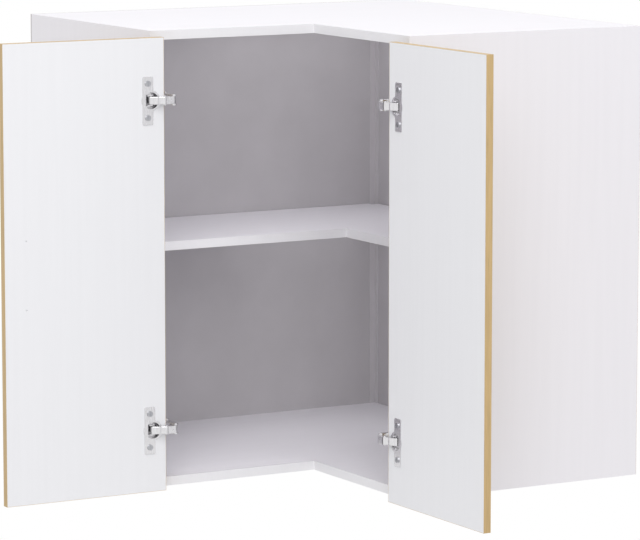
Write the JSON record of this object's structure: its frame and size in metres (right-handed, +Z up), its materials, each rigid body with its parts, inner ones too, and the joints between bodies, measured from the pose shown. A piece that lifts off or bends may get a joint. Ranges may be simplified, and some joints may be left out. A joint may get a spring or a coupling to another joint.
{
  "type": "corner wall cabinet",
  "caption": "L-shaped corner wall cabinet with an open inner corner, a set-back shelf and doors on both fronts that fold fully back on concealed hinges.",
  "frame": {"origin": "bottom of the room corner that the cabinet fills, where the two wall planes and the cabinet's underside meet", "axes": "+Z up; +Y into the wall behind the left leg, +X into the wall behind the right leg; the cabinet lies at negative X and Y"},
  "size_m": [0.8925, 0.8925, 0.65],
  "materials": {
    "white_board": "white melamine-faced board, satin",
    "white_door_board": "white melamine-faced board, satin",
    "oak_edging": "light oak-coloured edging, satin",
    "white_edging": "white edging, satin",
    "grey_back_sheet": "light grey hardboard, satin",
    "corner_strip_plastic": "light grey plastic angle strip",
    "nickel_steel": "nickel-plated pressed steel",
    "zinc_steel": "zinc-plated steel",
    "zinc_fitting": "zinc die casting",
    "beech_dowel": "plain beech"
  },
  "bodies": {
    "carcass": {"back_nails": "zinc_steel", "bottom_edge_band": "white_edging", "bottom_panel": "white_board", "cam_bolts": "zinc_steel", "cams": "zinc_fitting", "dowels": "beech_dowel", "hinge_arm_pins": "nickel_steel", "hinge_arm_screws": "nickel_steel", "hinge_plate_screws": "nickel_steel", "left_back_sheet": "grey_back_sheet", "left_bracket_screws": "zinc_steel", "left_lower_hinge_arm": "nickel_steel", "left_lower_hinge_plate": "nickel_steel", "left_side_edge_band": "white_edging", "left_side_panel": "white_board", "left_upper_hinge_arm": "nickel_steel", "left_upper_hinge_plate": "nickel_steel", "left_wall_bracket": "zinc_steel", "rear_corner_batten": "white_board", "rear_corner_strip": "corner_strip_plastic", "right_back_sheet": "grey_back_sheet", "right_hanging_rail": "white_board", "right_lower_hinge_arm": "nickel_steel", "right_lower_hinge_plate": "nickel_steel", "right_side_edge_band": "white_edging", "right_side_panel": "white_board", "right_upper_hinge_arm": "nickel_steel", "right_upper_hinge_plate": "nickel_steel", "shelf": "white_board", "shelf_edge_band": "white_edging", "shelf_pins": "zinc_steel", "top_edge_band": "white_edging", "top_panel": "white_board"},
    "left_swing_links": {"left_cup_pins": "zinc_steel", "left_link_rivets": "nickel_steel", "left_lower_hinge_swing_link": "nickel_steel", "left_upper_hinge_swing_link": "nickel_steel"},
    "left_door": {"left_cup_screws": "zinc_steel", "left_door_long_edge_bands": "oak_edging", "left_door_short_edge_bands": "oak_edging", "left_door_slab": "white_door_board", "left_lower_hinge_cup": "nickel_steel", "left_upper_hinge_cup": "nickel_steel"},
    "left_base_links": {"left_knee_pins": "zinc_steel", "left_lower_hinge_base_link": "nickel_steel", "left_upper_hinge_base_link": "nickel_steel"},
    "right_swing_links": {"right_cup_pins": "zinc_steel", "right_link_rivets": "nickel_steel", "right_lower_hinge_swing_link": "nickel_steel", "right_upper_hinge_swing_link": "nickel_steel"},
    "right_door": {"right_cup_screws": "zinc_steel", "right_door_long_edge_bands": "oak_edging", "right_door_short_edge_bands": "oak_edging", "right_door_slab": "white_door_board", "right_lower_hinge_cup": "nickel_steel", "right_upper_hinge_cup": "nickel_steel"},
    "right_base_links": {"right_knee_pins": "zinc_steel", "right_lower_hinge_base_link": "nickel_steel", "right_upper_hinge_base_link": "nickel_steel"}
  },
  "joints": [
    {"name": "left_door_swing", "type": "hinge", "parent": "carcass", "child": "left_door", "pos_m": [-0.64625, -0.4013, 0], "axis": [0, 0, 1], "range_deg": [0, 180]},
    {"name": "left_base_links_turn", "type": "hinge", "parent": "carcass", "child": "left_base_links", "pos_m": [-0.6277, -0.3855, 0], "axis": [0, 0, 1], "range_deg": [0, 151.8]},
    {"name": "left_swing_links_turn", "type": "hinge", "parent": "left_base_links", "child": "left_swing_links", "pos_m": [-0.63001, -0.41774, 0], "axis": [0, 0, 1], "range_deg": [-84.05, 0]},
    {"name": "right_door_swing", "type": "hinge", "parent": "carcass", "child": "right_door", "pos_m": [-0.4013, -0.64625, 0], "axis": [0, 0, 1], "range_deg": [-180, 0]},
    {"name": "right_base_links_turn", "type": "hinge", "parent": "carcass", "child": "right_base_links", "pos_m": [-0.3855, -0.6277, 0], "axis": [0, 0, 1], "range_deg": [-151.8, 0]},
    {"name": "right_swing_links_turn", "type": "hinge", "parent": "right_base_links", "child": "right_swing_links", "pos_m": [-0.41774, -0.63001, 0], "axis": [0, 0, 1], "range_deg": [0, 84.05]}
  ],
  "couplings": [
    {"joint": "left_base_links_turn", "follows": "left_door_swing", "ratio": 0.84326},
    {"joint": "left_swing_links_turn", "follows": "left_door_swing", "ratio": -0.4669},
    {"joint": "right_base_links_turn", "follows": "right_door_swing", "ratio": 0.84326},
    {"joint": "right_swing_links_turn", "follows": "right_door_swing", "ratio": -0.4669}
  ]
}
